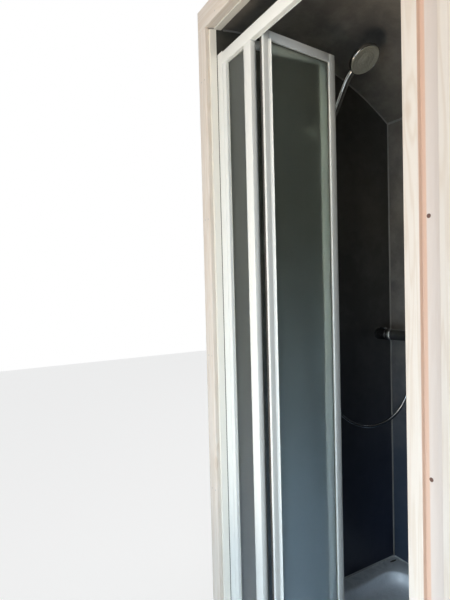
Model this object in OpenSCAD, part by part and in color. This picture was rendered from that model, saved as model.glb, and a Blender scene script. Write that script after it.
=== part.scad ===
// Shower cubicle with a folding glass door, lined with dark wall panels under a bent ceiling
// panel, on a timber frame. Millimetres, +Z up, the front faces -Y, the origin is at the
// centre of the footprint on the floor.

/* [Cubicle] */
// Clear width between the two side panels
niche_w = 800; // [760:10:1000]
// Depth from the door frame's front face to the back panel
niche_d = 800; // [760:10:860]
// Height of the tray's rim above the floor
rim_h = 80; // [70:5:110]
// Thickness of the wall and ceiling panels
panel_t = 12; // [8:1:16]
// Side of the square timber studs and plates
stud = 45; // [38:1:60]

/* [Ceiling arc] */
// Radius of the ceiling's underside
ceiling_r = 1050; // [1000:10:1100]
// Highest point of the ceiling above the tray's rim
ceiling_rise = 2008; // [1990:2:2040]
// Distance of the highest point behind the door frame's front face
ceiling_crown_y = 185; // [150:5:220]

/* [Door frame] */
// Height of the door frame's top above the rim
door_h = 1904; // [1850:2:1920]
// Height of the header rail's face
header_h = 37; // [30:1:45]
// Depth of the frame's profiles, front to back
frame_d = 16; // [14:0.5:20]
// Width of the profile screwed to each side panel
wall_profile_w = 34; // [28:1:40]
// Width that the jamb stile shows beside its wall profile
jamb_w = 18; // [14:1:24]
// Width of the narrow fixed glass
fixed_glass_w = 107; // [90:1:130]
// Width of the stile that carries the folding leaf
fixed_stile_w = 37; // [30:1:45]

/* [Leaves] */
// Thickness of the two leaves
leaf_t = 16; // [14:1:18]
// Top of the leaves above the rim
leaf_top = 1885; // [1870:1:1887]
// Bottom of the leaves above the rim
leaf_bottom = 16; // [14:1:18]
// Height of the leaves' top and bottom rails
leaf_rail_h = 25; // [22:1:36]
// Length of the leaf that hangs on the fixed stile
fold_leaf_w = 290; // [280:1:290]
// Turn of that leaf from the closed line, in degrees
fold_leaf_turn = 85.5; // [85:0.1:87]
// Length of the leaf that slides along the header
slide_leaf_w = 294; // [285:1:294]
// Turn of that leaf from the closed line, in degrees
slide_leaf_turn = 94.85; // [94:0.05:95]

/* [Mixer] */
// Diameter of the mixer's bar
mixer_d = 42; // [36:1:46]
// Height of the bar's axis above the rim
mixer_z = 954; // [900:2:1100]
// Distance of the bar's axis from the back panel
mixer_reach = 100; // [80:1:110]
// Distance of the bar's middle from the left side panel
mixer_x = 177; // [170:1:300]

/* [Hand shower] */
// Diameter of the shower head
head_d = 104; // [90:1:110]
// Diameter of the handle
handle_d = 22; // [20:1:24]
// Lean of the handle away from upright, in degrees
handle_lean = 31.5; // [28:0.5:34]
// Outer diameter of the hose
hose_d = 12; // [10:1:13]

/* [Hidden] */
$fn = 72;
far = 3000;

// Heights above the floor
frame_top = rim_h + door_h;
header_bottom = frame_top - header_h;
leaf_z0 = rim_h + leaf_bottom;
leaf_z1 = rim_h + leaf_top;
threshold_h = 20;
threshold_top = rim_h + threshold_h;
crown_z = rim_h + ceiling_rise;
arc_z = crown_z - ceiling_r;

// Places front to back, from the door frame's front face
panel_front = -22.5;
trim_t = 1.5;
trim_lip = 21;
ceiling_front = -8;
ceiling_lip = 25;
casing_back = panel_front - trim_t;
casing_t = 14;
casing_front = casing_back - casing_t;
back_outer = niche_d + panel_t + stud;
side_outer = panel_t + stud;
mid_y = (casing_front + back_outer) / 2;
plate_gap = 1;

// Casing boards round the opening
casing_overlap = 6;
casing_top_z = 2072 + rim_h - 80;
casing_top_h = 70;
right_casing_x = 745;
recess_x = 778;
recess_w = 39;
recess_t = 9;
lining_sink = 1;
lining_gap = 1.5;
lining_short = 8;

// Tray
tray_front = -12;
tray_ledge = 64;
tray_base = 25;
skirt_t = 10;
basin_depth = 45;
basin_r = 60;
waste_r = 42;
waste_cap_r = 56;
waste_tail_r = 20;
foot_r = 22;
foot_inset = 150;

// Timber
batten_h = 30;
batten_sink = 0.3;
batten_ys = [40, 280, 520, 740];
side_stud_ys = [casing_back, 250, 520, niche_d + panel_t - stud - plate_gap];
back_stud_xs = [-side_outer, 240, 515, niche_w + panel_t];
head_plate_h = 60;

// Strips in the inner corners
strip = 4;

// Door frame
profile_wall = 2;
jamb_tuck = 14;
fixed_stile_x = wall_profile_w + jamb_w + fixed_glass_w;
glass_t = 4;
fixed_glass_y = 12;
closing_w = 12;
closing_d = 12;
closing_y = 9.5;
shelf_d = 26;
shelf_t = 9;
sill_shelf_t = 6;
groove_y = 28;
groove_w = 4;

// Leaves, each in its own frame: x along the leaf, y from its right face to its left face
fold_leaf_at = [170.3, 22];
slide_leaf_at = [234.8, 18.6];
leaf_glass_y = 6;
fold_near_w = 14;
fold_far_w = 41;
slide_edge_w = 25;
slide_stile_w = 24;
edge_step_w = 8;
edge_step_t = 8;
grip_w = 8;
grip_out = 7;
guide_w = 16;
guide_pin_r = 1.5;
guide_pin_h = 2;
pivot_at = 8;
pivot_r = 5;
hinge_plate = 3;
hinge_plate_w = 14;
hinge_r = 3.5;
hinge_short = 15;
pin_short = 10;

// Mixer
mixer_half = 85;
collar_w = 14;
collar_d = mixer_d + 3;
knob_w = 56;
knob_d = mixer_d + 2;
knob_gap = 1;
rib_h = 4;
rib_w = 9;
rib_len = 26;
spindle_r = 8;
spindle_len = 24;
running_gap = 0.05;
union_half = 75;
union_d = 34;
union_split = 40;
rose_d = 62;
rose_t = 12;
outlet_d = 20;
outlet_drop = 17;
nut_len = 26;

// Hand shower: the holder's centre, its azimuth, and the face in the handle's own frame
holder_at = [80, 405, rim_h + 1714.4];
handle_yaw = 5;
holder_d = 34;
holder_half = 16;
holder_slot = 13;
bracket_rose_d = 52;
bracket_rose_t = 10;
bracket_arm_d = 20;
handle_low = -28;
handle_high = 158;
neck_turn = 22;
neck_len = 42;
shoulder_d = handle_d + 3;
socket_r = handle_d / 2 + 0.2;
tail_r1 = handle_d / 2 - 1.5;
tail_r2 = handle_d / 2 - 0.8;
face_at = [49.1, 0, 224.8];
face_tip = 114;
head_rim_t = 12;
head_back_t = 14;
head_back_r = 30;
spray_d = head_d - 5.4;
spray_t = 4;
spray_proud = 1.5;

// Route of the hose, from the handle's nut down and round to the mixer's nut. It leaves the
// handle's nut straight along the handle.
handle_axis = [
    sin(handle_lean) * cos(handle_yaw), sin(handle_lean) * sin(handle_yaw), cos(handle_lean)];
hose_start = holder_at + (handle_low - nut_len) * handle_axis;
hose_sides = 10;
hose_route = [
    hose_start, hose_start - 24 * handle_axis, [31, 401, 1710.5], [26.5, 401, 1693],
    [24.5, 401, 1672], [23, 401, 1640], [21.5, 401, 1600], [20.5, 402, 1555], [20, 402, 1500],
    [19, 401, 1440], [19, 399, 1365],
    [19, 396, 1290], [20, 393, 1215], [21, 390, 1145], [22, 388, 1080], [24, 387, 1020],
    [27, 387, 965], [30, 389, 920], [34, 394, 880], [39, 402, 845], [45, 414, 812],
    [53, 431, 782], [63, 452, 754], [74, 476, 731], [86, 502, 715], [98, 529, 706],
    [111, 556, 704], [124, 583, 709], [136, 610, 720], [147, 635, 738], [157, 657, 763],
    [165, 674, 793], [171, 686, 826], [175, 694, 862], [177, 699, 900], [177, 700, 940],
    [177, 700, rim_h + mixer_z - mixer_d / 2 - outlet_drop - nut_len]
];

// Moves a child from the niche's own corner (left panel, door front, floor) to the origin
module placed() translate([-niche_w / 2, -mid_y, 0]) children();

// The same child on the right side of the niche
module on_right() translate([niche_w, 0, 0]) mirror([1, 0, 0]) children();

// Draws a side profile (depth, height) and extrudes it from x by width
module along_x(x, width)
    translate([x, 0, 0]) rotate([90, 0, 90]) linear_extrude(width) children();

// Side profile from y0 to y1 and from z0 up to an arc of radius r about the ceiling's centre
module under_arc(y0, y1, z0, r)
    intersection() {
        translate([y0, z0]) square([y1 - y0, far]);
        union() {
            translate([ceiling_crown_y, arc_z]) circle(r);
            translate([-far / 2, -far / 2]) square([far, far / 2 + arc_z]);
        }
    }

// Side profile of a bent strip between two radii, from y0 to y1
module arc_strip(y0, y1, r_in, r_out)
    intersection() {
        translate([ceiling_crown_y, arc_z]) difference() {
            circle(r_out);
            circle(r_in);
        }
        translate([y0, arc_z]) square([y1 - y0, far]);
    }

// A bar from a low corner to a high corner
module bar(low, high) translate(low) cube(high - low);

// Rectangle with round corners, made of true arcs
module round_rect(x0, y0, x1, y1, r) {
    translate([x0 + r, y0]) square([x1 - x0 - 2 * r, y1 - y0]);
    translate([x0, y0 + r]) square([x1 - x0, y1 - y0 - 2 * r]);
    for (x = [x0 + r, x1 - r], y = [y0 + r, y1 - r]) translate([x, y]) circle(r);
}

module basin_outline()
    round_rect(
        tray_ledge, tray_front + tray_ledge, niche_w - tray_ledge, niche_d - tray_ledge, basin_r);

waste_at = [niche_w / 2, (tray_front + niche_d) / 2];
basin_floor = rim_h - basin_depth;

// Stone resin slab with a round-cornered basin
module shower_tray()
    color("white") placed() difference() {
        bar([0, tray_front, tray_base], [niche_w, niche_d, rim_h]);
        translate([0, 0, basin_floor]) linear_extrude(rim_h) basin_outline();
        translate([waste_at.x, waste_at.y, -1]) cylinder(r = waste_r + 1, h = rim_h);
    }

// Board between the slab's front edge and the floor
module tray_skirt()
    color("white") placed()
        bar([0, tray_front, 0], [niche_w, tray_front + skirt_t, tray_base]);

module tray_waste()
    color("silver") placed() translate([waste_at.x, waste_at.y, 0]) {
        translate([0, 0, basin_floor]) cylinder(r = waste_cap_r, h = 4);
        translate([0, 0, basin_floor - 12]) cylinder(r = waste_r, h = 12);
        translate([0, 0, 3]) cylinder(r = waste_tail_r, h = basin_floor - 15);
    }

module tray_foot(x, y)
    translate([x, y, 0]) {
        cylinder(r = foot_r, h = 6);
        translate([0, 0, 6]) cylinder(r = 8, h = tray_base - 6);
    }

module tray_feet()
    color("dimgray") placed()
        for (x = [foot_inset, niche_w - foot_inset], y = [foot_inset, niche_d - foot_inset])
            tray_foot(x, y);

module side_panel() along_x(-panel_t, panel_t) under_arc(panel_front, niche_d, 0, ceiling_r);

module left_wall_panel() color([0.15, 0.16, 0.17]) placed() side_panel();

module right_wall_panel() color([0.15, 0.16, 0.17]) placed() on_right() side_panel();

module back_wall_panel()
    color([0.18, 0.19, 0.20]) placed()
        along_x(-panel_t, niche_w + 2 * panel_t)
            under_arc(niche_d, niche_d + panel_t, 0, ceiling_r);

module ceiling_panel()
    color([0.2, 0.2, 0.2]) placed()
        along_x(-side_outer, niche_w + 2 * side_outer)
            arc_strip(ceiling_front, back_outer, ceiling_r, ceiling_r + panel_t);

module corner_strips()
    color([0.45, 0.45, 0.45]) placed() {
        for (x = [0, niche_w - strip]) {
            along_x(x, strip) under_arc(niche_d - strip, niche_d, rim_h, ceiling_r);
            along_x(x, strip)
                arc_strip(ceiling_lip, niche_d, ceiling_r - strip, ceiling_r);
        }
        along_x(0, niche_w) arc_strip(niche_d - strip, niche_d, ceiling_r - strip, ceiling_r);
    }

// Angle trim on the front edge of a side panel: a lip inside and a cap over the edge
module side_edge_trim() {
    along_x(0, trim_t) under_arc(casing_back, casing_back + trim_lip + trim_t, rim_h, ceiling_r);
    along_x(-panel_t, panel_t + trim_t) under_arc(casing_back, panel_front, rim_h, ceiling_r);
    along_x(-panel_t, panel_t) under_arc(casing_back, panel_front, 0, ceiling_r);
}

module edge_trim()
    color("ivory") placed() {
        side_edge_trim();
        on_right() side_edge_trim();
        along_x(0, niche_w)
            arc_strip(ceiling_front - trim_t, ceiling_front + ceiling_lip,
                ceiling_r - trim_t, ceiling_r);
        along_x(0, niche_w)
            arc_strip(ceiling_front - trim_t, ceiling_front,
                ceiling_r - trim_t, ceiling_r + panel_t - 1);
    }

module left_casing()
    color("antiquewhite") placed()
        bar([-side_outer, casing_front, 0], [-casing_overlap, casing_back, casing_top_z]);

// Wide board with a recess down its face, and the lining behind its inner edge, which ends just
// short of the trim, the rim and the ceiling
module right_casing()
    color("antiquewhite") placed() {
        linear_extrude(casing_top_z) polygon([
            [right_casing_x, casing_front], [recess_x, casing_front],
            [recess_x, casing_front + recess_t], [recess_x + recess_w, casing_front + recess_t],
            [recess_x + recess_w, casing_front], [niche_w + side_outer, casing_front],
            [niche_w + side_outer, casing_back], [right_casing_x, casing_back]]);
        bar([right_casing_x, casing_back - lining_sink, rim_h + lining_gap],
            [niche_w - trim_t - lining_gap, -lining_gap, casing_top_z - lining_short]);
    }

module top_casing()
    color("antiquewhite") placed()
        bar([-side_outer, casing_front, casing_top_z],
            [niche_w + side_outer, ceiling_front - trim_t, casing_top_z + casing_top_h]);

module side_studs()
    for (y = side_stud_ys)
        along_x(-side_outer, stud) under_arc(y, y + stud, stud, ceiling_r - stud);

module left_studs() color("burlywood") placed() side_studs();

module right_studs() color("burlywood") placed() on_right() side_studs();

head_plate_z = arc_z + sqrt(pow(ceiling_r, 2) - pow(back_outer - ceiling_crown_y, 2)) - head_plate_h;

module back_studs()
    color("burlywood") placed()
        for (x = back_stud_xs)
            bar([x, niche_d + panel_t, stud], [x + stud, back_outer, head_plate_z]);

module sole_plates()
    color("tan") placed() {
        for (x = [-side_outer, niche_w + panel_t])
            bar([x, casing_back, 0], [x + stud, niche_d + panel_t - plate_gap, stud]);
        bar([-side_outer, niche_d + panel_t, 0], [niche_w + side_outer, back_outer, stud]);
    }

module top_plates()
    color("tan") placed() {
        for (x = [-side_outer, niche_w + panel_t])
            along_x(x, stud)
                arc_strip(casing_back, niche_d + panel_t - plate_gap, ceiling_r - stud, ceiling_r);
        along_x(-side_outer, niche_w + 2 * side_outer)
            under_arc(niche_d + panel_t, back_outer, head_plate_z, ceiling_r);
    }

module ceiling_battens()
    color("tan") placed() difference() {
        for (y = batten_ys)
            translate([0, ceiling_crown_y, arc_z])
                rotate([-asin((y - ceiling_crown_y) / ceiling_r), 0, 0])
                    bar([-side_outer, -stud / 2, ceiling_r + panel_t - batten_sink],
                        [niche_w + side_outer, stud / 2, ceiling_r + panel_t + batten_h]);
        translate([-far / 2, ceiling_crown_y, arc_z]) rotate([0, 90, 0])
            cylinder(r = ceiling_r + panel_t, h = far, $fn = 180);
    }

// Channel screwed to a side panel, open towards the doorway
module wall_profile()
    difference() {
        bar([0, 0, rim_h], [wall_profile_w, frame_d, frame_top + 4]);
        bar([profile_wall, trim_t, rim_h - 1],
            [wall_profile_w + 1, frame_d - trim_t, frame_top + 5]);
    }

module wall_profiles()
    color("white") placed() {
        wall_profile();
        on_right() wall_profile();
    }

module jamb_stile()
    bar([wall_profile_w - jamb_tuck, trim_t, threshold_top],
        [wall_profile_w + jamb_w, frame_d - trim_t, header_bottom]);

module jamb_stiles()
    color("white") placed() {
        jamb_stile();
        on_right() jamb_stile();
    }

module closing_strip()
    color("gray") placed() on_right()
        translate([wall_profile_w + jamb_w, closing_y, threshold_top])
            cube([closing_w, closing_d, header_bottom - threshold_top]);

// Rail across the doorway: a front flange from z0 to z1, a shelf behind it that the leaves'
// guides and pivots run against, from shelf_z0 to shelf_z1, and a groove in that shelf
module cross_rail(z0, z1, shelf_z0, shelf_z1, groove_z0, groove_z1)
    along_x(wall_profile_w, niche_w - 2 * wall_profile_w) difference() {
        union() {
            translate([0, z0]) square([frame_d, z1 - z0]);
            translate([0, shelf_z0]) square([frame_d + shelf_d, shelf_z1 - shelf_z0]);
        }
        translate([groove_y, groove_z0]) square([groove_w, groove_z1 - groove_z0]);
    }

shelf_z = frame_top - shelf_t;
sill_z = rim_h + sill_shelf_t;

module header_rail()
    color("white") placed()
        cross_rail(header_bottom, frame_top, shelf_z, frame_top, shelf_z - 1, shelf_z + 4);

module threshold_rail()
    color("white") placed()
        cross_rail(rim_h, threshold_top, rim_h, sill_z, sill_z - 3, sill_z + 1);

module fixed_glass()
    color([0.5, 0.55, 0.55, 0.6]) placed()
        translate([wall_profile_w + jamb_w, fixed_glass_y, threshold_top])
            cube([fixed_glass_w, glass_t, header_bottom - threshold_top]);

module fixed_stile()
    color("white") placed()
        bar([fixed_stile_x, 0, threshold_top],
            [fixed_stile_x + fixed_stile_w, frame_d, header_bottom]);

module in_fold_leaf()
    placed() translate(concat(fold_leaf_at, 0)) rotate([0, 0, fold_leaf_turn]) children();

module in_slide_leaf()
    placed() translate(concat(slide_leaf_at, 0)) rotate([0, 0, slide_leaf_turn]) children();

// The two heights of a leaf's rails
module at_leaf_rails() for (z = [leaf_z0, leaf_z1 - leaf_rail_h]) translate([0, 0, z]) children();

leaf_h = leaf_z1 - leaf_z0;
pane_h = leaf_h - 2 * leaf_rail_h;
pane_z = leaf_z0 + leaf_rail_h;

module fold_leaf_stiles()
    color("white") in_fold_leaf()
        for (end = [[0, fold_near_w], [fold_leaf_w - fold_far_w, fold_far_w]])
            translate([end[0], 0, pane_z]) cube([end[1], leaf_t, pane_h]);

module fold_leaf_rails()
    color("white") in_fold_leaf() at_leaf_rails() cube([fold_leaf_w, leaf_t, leaf_rail_h]);

module fold_leaf_glass()
    color([0.5, 0.55, 0.55, 0.6]) in_fold_leaf()
        translate([fold_near_w, leaf_glass_y, pane_z])
            cube([fold_leaf_w - fold_near_w - fold_far_w, glass_t, pane_h]);

// A point of the folding leaf, given along it and across it, in the niche's frame
function fold_leaf_point(s, t) = [
    fold_leaf_at.x + s * cos(fold_leaf_turn) - t * sin(fold_leaf_turn),
    fold_leaf_at.y + s * sin(fold_leaf_turn) + t * cos(fold_leaf_turn)];

// Pins that the folding leaf turns on, from its ends to the shelves of header and threshold
module fold_leaf_pivots()
    color("lightgray") in_fold_leaf() translate([pivot_at, pivot_at, 0]) {
        translate([0, 0, sill_z]) cylinder(r = pivot_r, h = leaf_z0 - sill_z);
        translate([0, 0, leaf_z1]) cylinder(r = pivot_r, h = shelf_z - leaf_z1);
    }

module slide_leaf_stiles()
    color("white") in_slide_leaf() {
        translate([0, 0, leaf_z0]) linear_extrude(leaf_h) polygon([
            [0, 0], [slide_edge_w, 0], [slide_edge_w, leaf_t],
            [edge_step_w, leaf_t], [edge_step_w, edge_step_t], [0, edge_step_t]]);
        translate([slide_leaf_w - slide_stile_w, 0, leaf_z0])
            cube([slide_stile_w, leaf_t, leaf_h]);
    }

module slide_leaf_rails()
    color("white") in_slide_leaf() at_leaf_rails() translate([slide_edge_w, 0, 0])
        cube([slide_leaf_w - slide_edge_w - slide_stile_w, leaf_t, leaf_rail_h]);

module slide_leaf_glass()
    color([0.5, 0.55, 0.55, 0.6]) in_slide_leaf()
        translate([slide_edge_w, leaf_glass_y, pane_z])
            cube([slide_leaf_w - slide_edge_w - slide_stile_w, glass_t, pane_h]);

// Sliding blocks between the leaf and the shelves, each with a pin in the shelf's groove
module slide_leaf_guides()
    color("lightgray") in_slide_leaf() {
        translate([2, 2, sill_z]) cube([guide_w, leaf_t - 4, leaf_z0 - sill_z]);
        translate([12, pivot_at, sill_z - guide_pin_h]) cylinder(r = guide_pin_r, h = guide_pin_h);
        translate([2, 2, leaf_z1]) cube([guide_w, leaf_t - 4, shelf_z - leaf_z1]);
        translate([12, pivot_at, shelf_z]) cylinder(r = guide_pin_r, h = guide_pin_h);
    }

// Raised lip along the pane to pull the door by, on the leaf's inner face
module slide_leaf_grip()
    color("white") in_slide_leaf() translate([slide_edge_w, 0, pane_z]) linear_extrude(pane_h)
        polygon([
            [-grip_w, 0], [0, 0], [0, -grip_out], [-1.6, -grip_out],
            [-grip_w * 0.3, -grip_out / 2], [-grip_w * 0.6, -grip_out / 6]]);

module slide_leaf_seal()
    color("dimgray") in_slide_leaf() translate([0, edge_step_t, leaf_z0])
        cube([edge_step_w, leaf_t - edge_step_t, leaf_h]);

// Full-height hinge over the two leaves' far ends
module leaf_hinge() {
    knuckle = fold_leaf_point(fold_leaf_w + hinge_r, -2);
    color("lightgray") {
        in_fold_leaf() translate([fold_leaf_w, 0, leaf_z0 + hinge_short])
            cube([hinge_plate, hinge_plate_w, leaf_h - 2 * hinge_short]);
        in_slide_leaf()
            translate([slide_leaf_w, leaf_t - hinge_plate_w, leaf_z0 + hinge_short])
                cube([hinge_plate, hinge_plate_w, leaf_h - 2 * hinge_short]);
        placed() translate([knuckle.x, knuckle.y, leaf_z0 + pin_short])
            cylinder(r = hinge_r, h = leaf_h - 2 * pin_short);
    }
}

// Moves a child to the middle of the mixer's bar, with its z axis along the bar
module at_mixer()
    placed() translate([mixer_x, niche_d - mixer_reach, rim_h + mixer_z])
        rotate([0, 90, 0]) children();

// Both ends of the bar, each seen from its own middle outwards
module mixer_ends() for (s = [0, 1]) mirror([0, 0, s]) children();

module mixer_body()
    color("gray") {
        at_mixer() {
            translate([0, 0, -mixer_half]) cylinder(d = mixer_d, h = 2 * mixer_half);
            mixer_ends() translate([0, 0, mixer_half]) {
                cylinder(d = collar_d, h = collar_w);
                cylinder(r = spindle_r, h = collar_w + spindle_len);
            }
        }
        placed() translate([mixer_x, niche_d - mixer_reach, rim_h + mixer_z]) {
            for (x = [-union_half, union_half])
                translate([x, 0, 0]) rotate([-90, 0, 0])
                    cylinder(d = union_d - 4, h = mixer_reach - union_split);
            translate([0, 0, -mixer_d / 2 - outlet_drop])
                cylinder(d = outlet_d, h = outlet_drop + mixer_d / 2);
        }
    }

module mixer_unions()
    color("silver") placed()
        for (x = [-union_half, union_half])
            translate([mixer_x + x, niche_d, rim_h + mixer_z]) rotate([90, 0, 0]) {
                cylinder(d = rose_d, h = rose_t);
                cylinder(d = union_d, h = union_split);
            }

// Turning end knob with a thumb rib on top and a blind bore over the spindle
module knob()
    translate([0, 0, mixer_half + collar_w + knob_gap]) difference() {
        union() {
            cylinder(d = knob_d, h = knob_w - 4);
            translate([0, 0, knob_w - 4]) cylinder(d1 = knob_d, d2 = knob_d - 6, h = 4);
            translate([-knob_d / 2 - rib_h, -rib_w / 2, (knob_w - rib_len) / 2])
                cube([knob_d / 2, rib_w, rib_len]);
        }
        translate([0, 0, -1]) cylinder(r = spindle_r + running_gap, h = spindle_len + 1);
    }

module left_knob() color("darkgray") at_mixer() mirror([0, 0, 1]) knob();

module right_knob() color("darkgray") at_mixer() knob();

// The handle's frame: z up along the handle, x towards the spray
module at_handle()
    placed() translate(holder_at) rotate([0, 0, handle_yaw]) rotate([0, handle_lean, 0])
        children();

module at_face() at_handle() translate(face_at) rotate([0, face_tip, 0]) children();

module shower_bracket()
    color("silver") difference() {
        union() {
            placed() translate([0, holder_at.y, holder_at.z]) rotate([0, 90, 0]) {
                cylinder(d = bracket_rose_d, h = bracket_rose_t);
                cylinder(d = bracket_arm_d, h = holder_at.x - 8);
            }
            at_handle() translate([0, 0, -holder_half])
                cylinder(d = holder_d, h = 2 * holder_half);
        }
        at_handle() {
            translate([0, 0, -2 * holder_half]) cylinder(r = socket_r, h = 4 * holder_half);
            translate([0, -holder_slot / 2, -2 * holder_half])
                cube([holder_d, holder_slot, 4 * holder_half]);
        }
    }

module hand_shower()
    color("silver") {
        at_handle() {
            translate([0, 0, handle_low])
                cylinder(r1 = tail_r1, r2 = tail_r2, h = holder_half - handle_low);
            translate([0, 0, holder_half]) cylinder(d = shoulder_d, h = 6);
            translate([0, 0, holder_half + 6])
                cylinder(d = handle_d, h = handle_high - holder_half - 6);
            translate([0, 0, handle_high]) sphere(d = handle_d);
            translate([0, 0, handle_high]) rotate([0, neck_turn, 0]) {
                cylinder(d = handle_d, h = neck_len);
                translate([0, 0, neck_len]) sphere(d = handle_d);
            }
        }
        at_face() difference() {
            union() {
                translate([0, 0, -head_rim_t]) cylinder(d = head_d, h = head_rim_t);
                translate([0, 0, -head_rim_t - head_back_t])
                    cylinder(r1 = head_back_r, r2 = head_d / 2, h = head_back_t);
            }
            translate([0, 0, spray_proud - spray_t]) cylinder(d = spray_d + 0.4, h = spray_t);
        }
    }

module spray_face()
    color("gray") at_face() translate([0, 0, spray_proud - spray_t])
        cylinder(d = spray_d, h = spray_t);

module hose_nuts()
    color("silver") {
        at_handle() translate([0, 0, handle_low - nut_len])
            cylinder(r1 = hose_d / 2 + 1, r2 = tail_r1, h = nut_len);
        placed() translate([mixer_x, niche_d - mixer_reach,
            rim_h + mixer_z - mixer_d / 2 - outlet_drop - nut_len])
            cylinder(r1 = hose_d / 2 + 1, r2 = outlet_d / 2 + 2, h = nut_len);
    }

// Unit vector, and the hose's direction at one point of its route
function unit(v) = v / norm(v);
function heading(path, i) =
    unit(path[min(i + 1, len(path) - 1)] - path[max(i - 1, 0)]);

// A level line roughly square to the plane the hose hangs in. The hose never runs along it.
hose_across = [0.96, -0.28, 0];

// Ring of the tube's corners about one point of the route
function ring(path, i, d, sides) =
    let (
        along = heading(path, i),
        side = unit(cross(along, hose_across)),
        other = cross(along, side)
    )
    [for (k = [0 : sides - 1])
        path[i] + (side * cos(360 * k / sides) + other * sin(360 * k / sides)) * d / 2];

module tube(path, d, sides) {
    rings = len(path);
    points = [for (i = [0 : rings - 1]) each ring(path, i, d, sides)];
    walls = [
        for (i = [0 : rings - 2], k = [0 : sides - 1])
            let (a = i * sides + k, b = i * sides + (k + 1) % sides)
            each [[a, b, b + sides], [a, b + sides, a + sides]]];
    ends = [
        [for (k = [sides - 1 : -1 : 0]) k],
        [for (k = [0 : sides - 1]) (rings - 1) * sides + k]];
    polyhedron(points, concat(walls, ends));
}

module shower_hose() color("silver") placed() tube(hose_route, hose_d, hose_sides);

shower_tray();
tray_skirt();
tray_waste();
tray_feet();
left_wall_panel();
right_wall_panel();
back_wall_panel();
ceiling_panel();
corner_strips();
edge_trim();
left_casing();
right_casing();
top_casing();
left_studs();
right_studs();
back_studs();
sole_plates();
top_plates();
ceiling_battens();
wall_profiles();
jamb_stiles();
closing_strip();
header_rail();
threshold_rail();
fixed_glass();
fixed_stile();
fold_leaf_stiles();
fold_leaf_rails();
fold_leaf_glass();
fold_leaf_pivots();
slide_leaf_stiles();
slide_leaf_rails();
slide_leaf_glass();
slide_leaf_guides();
slide_leaf_grip();
slide_leaf_seal();
leaf_hinge();
mixer_body();
mixer_unions();
left_knob();
right_knob();
shower_bracket();
hand_shower();
spray_face();
hose_nuts();
shower_hose();
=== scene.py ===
"""Looks of a shower cubicle with a folding glass door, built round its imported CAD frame."""

from __future__ import annotations

import logging
import math
from dataclasses import dataclass
from enum import Enum
from typing import Any, Sequence

import bmesh
import bpy
from mathutils import Matrix, Vector

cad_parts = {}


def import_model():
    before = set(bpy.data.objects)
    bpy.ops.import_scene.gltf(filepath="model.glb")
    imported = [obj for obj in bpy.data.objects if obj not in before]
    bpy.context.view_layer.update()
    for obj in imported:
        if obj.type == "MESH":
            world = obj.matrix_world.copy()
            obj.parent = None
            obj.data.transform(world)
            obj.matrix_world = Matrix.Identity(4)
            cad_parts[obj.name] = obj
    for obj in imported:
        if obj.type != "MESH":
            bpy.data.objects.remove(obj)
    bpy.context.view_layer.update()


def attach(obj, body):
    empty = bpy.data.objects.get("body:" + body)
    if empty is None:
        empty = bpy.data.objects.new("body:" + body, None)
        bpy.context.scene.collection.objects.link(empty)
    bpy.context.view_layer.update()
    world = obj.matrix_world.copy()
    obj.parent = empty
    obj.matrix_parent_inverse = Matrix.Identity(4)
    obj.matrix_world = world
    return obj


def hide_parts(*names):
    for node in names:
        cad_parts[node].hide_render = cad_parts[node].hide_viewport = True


LOG = logging.getLogger("cubicle")
Colour = tuple[float, float, float]
Point = tuple[float, float, float]
Outline = Sequence[tuple[float, float]]

# Niche coordinates are millimetres: X from the left panel's face, Y from the door frame's front
# face, Z from the floor. The row frame is metres about the centre of the footprint.
MM = 0.001
NICHE_W = 800.0
NICHE_D = 800.0
MID_Y = 409.5
RIM_Z = 80.0
ARC_Y = 185.0
ARC_Z = 1038.0
HEADER_Z = 1947.0
FRAME_TOP = 1984.0
THRESHOLD_Z = 100.0
TO_ROW = Matrix.Scale(MM, 4) @ Matrix.Translation((-NICHE_W / 2, -MID_Y, 0))
CUBICLE = "cubicle"
WELD = 0.002
FLAT = math.radians(0.3)
SHARP = math.radians(25)


def tone(red: float, green: float, blue: float) -> Colour:
    """Converts a display colour.

    Args:
        red: red from 0 to 255.
        green: green from 0 to 255.
        blue: blue from 0 to 255.

    Returns:
        The linear colour.
    """

    def line(value: float) -> float:
        """Returns one display value as linear light."""
        share = value / 255
        return share / 12.92 if share <= 0.04045 else ((share + 0.055) / 1.055) ** 2.4

    return line(red), line(green), line(blue)


def turned(x: float = 0, y: float = 0, z: float = 0) -> Matrix:
    """Turns about the fixed axes, one after the other.

    Args:
        x: degrees about X, first.
        y: degrees about Y, second.
        z: degrees about Z, last.

    Returns:
        The turn.
    """
    spin = Matrix.Identity(4)
    for angle, axis in ((x, "X"), (y, "Y"), (z, "Z")):
        spin = Matrix.Rotation(math.radians(angle), 4, axis) @ spin
    return spin


def moved(x: float, y: float, z: float) -> Matrix:
    """Returns a shift in millimetres."""
    return Matrix.Translation((x, y, z))


def mirrored(x: float) -> float:
    """Returns the same place on the other side of the niche."""
    return NICHE_W - x


def polar(radius: float, angle: float) -> tuple[float, float]:
    """Returns the x and y of a point at a radius and an angle."""
    return radius * math.cos(angle), radius * math.sin(angle)


def round_turn(count: int) -> list[float]:
    """Returns that many angles, evenly round a circle."""
    return [math.tau * k / count for k in range(count)]


# Shader graph


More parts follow.
